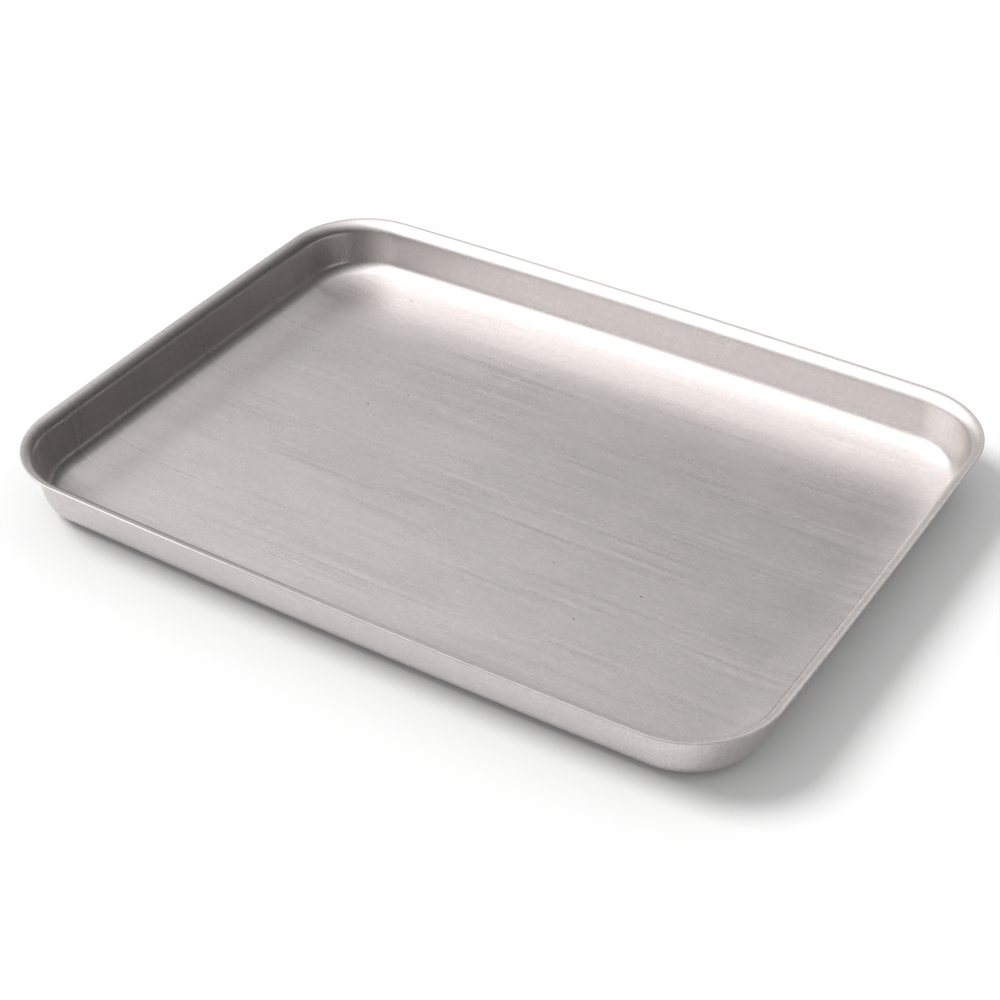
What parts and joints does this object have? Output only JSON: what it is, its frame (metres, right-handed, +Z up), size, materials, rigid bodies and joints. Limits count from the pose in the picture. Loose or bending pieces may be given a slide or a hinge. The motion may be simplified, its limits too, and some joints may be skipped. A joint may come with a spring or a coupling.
{
  "type": "developing tray",
  "caption": "Shallow rectangular tray pressed from thin aluminium sheet, with rounded corners, leaning walls and a flared open rim, for holding liquid or flat sheets.",
  "frame": {"origin": "middle of the underside, on the surface the tray rests on", "axes": "+X along the long sides, +Y across the tray, +Z up out of the open top"},
  "size_m": [0.42, 0.31, 0.033],
  "materials": {
    "tray_metal": "bare rolled sheet, satin, with a fine grain along the tray"
  },
  "bodies": {
    "root": {"tray": "tray_metal"}
  },
  "joints": []
}
